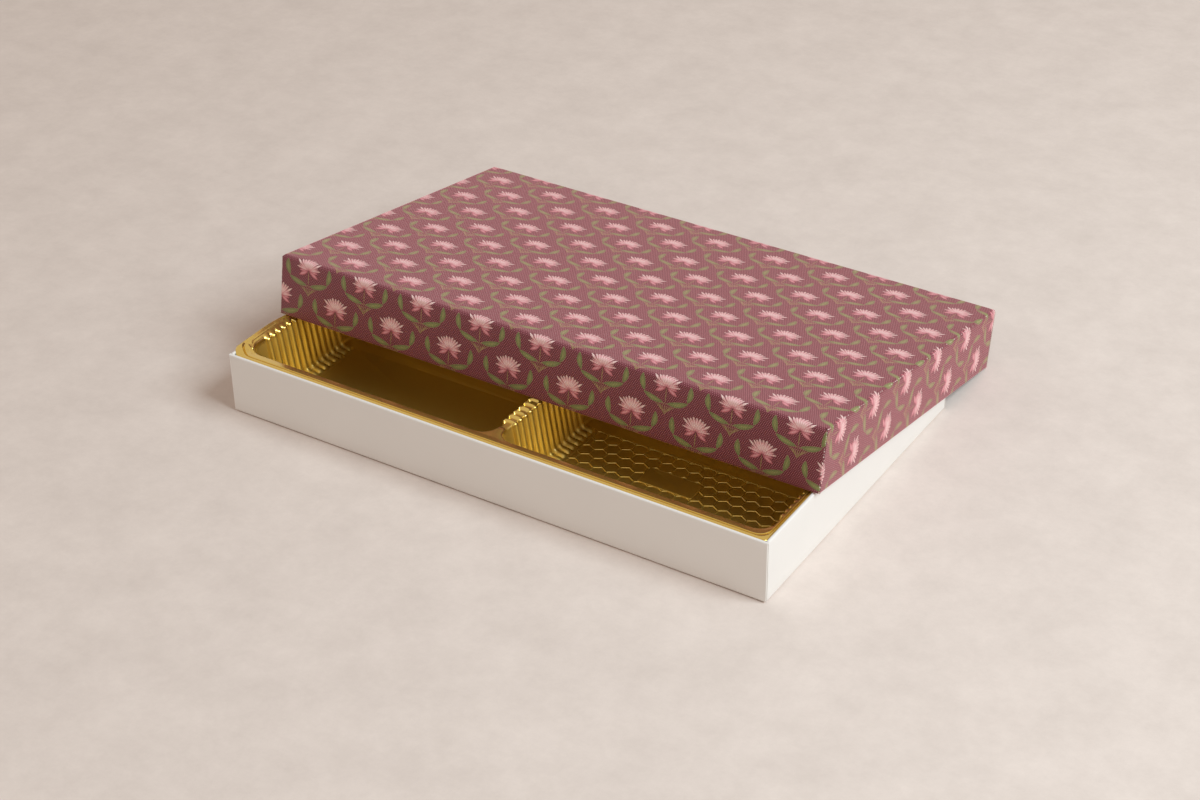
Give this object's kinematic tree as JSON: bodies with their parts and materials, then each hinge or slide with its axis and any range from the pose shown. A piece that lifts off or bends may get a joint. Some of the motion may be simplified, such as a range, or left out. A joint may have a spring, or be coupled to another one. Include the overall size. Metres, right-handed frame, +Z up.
{
  "type": "mithai sweet box",
  "caption": "Shallow oblong sweet box with a lift-off folded board lid printed with a lotus pattern, a plain white folded base and a gold plastic tray with fluted pockets.",
  "frame": {"origin": "centre of the base's underside, on the table", "axes": "+X to the right along the long side, +Y to the back, where the lid leans, +Z up"},
  "size_m": [0.2962, 0.2259, 0.0625],
  "materials": {
    "white_board": "smooth clay-coated white board, satin",
    "printed_board": "linen-embossed board printed with a lotus pattern, satin varnish",
    "gold_sheet": "thermoformed sheet with a mirror-like gold metallised face"
  },
  "bodies": {
    "base": {"base_floor": "white_board", "base_front_wall": "white_board", "base_back_wall": "white_board", "base_left_wall": "white_board", "base_right_wall": "white_board", "base_front_rollover": "white_board", "base_back_rollover": "white_board", "base_left_rollover": "white_board", "base_right_rollover": "white_board", "base_front_left_tab": "white_board", "base_front_right_tab": "white_board", "base_back_left_tab": "white_board", "base_back_right_tab": "white_board"},
    "tray": {"sweet_tray": "gold_sheet"},
    "lid": {"lid_top": "printed_board", "lid_front_wall": "printed_board", "lid_back_wall": "printed_board", "lid_left_wall": "printed_board", "lid_right_wall": "printed_board", "lid_front_rollover": "printed_board", "lid_back_rollover": "printed_board", "lid_left_rollover": "printed_board", "lid_right_rollover": "printed_board", "lid_front_left_tab": "printed_board", "lid_front_right_tab": "printed_board", "lid_back_left_tab": "printed_board", "lid_back_right_tab": "printed_board"}
  },
  "joints": [
    {"name": "tray_lift", "type": "slide", "parent": "base", "child": "tray", "axis": [0, 0, 1], "range_m": [0, 0.06]},
    {"name": "lid_lift", "type": "slide", "parent": "tray", "child": "lid", "axis": [0, 0, 1], "range_m": [0, 0.1]}
  ]
}
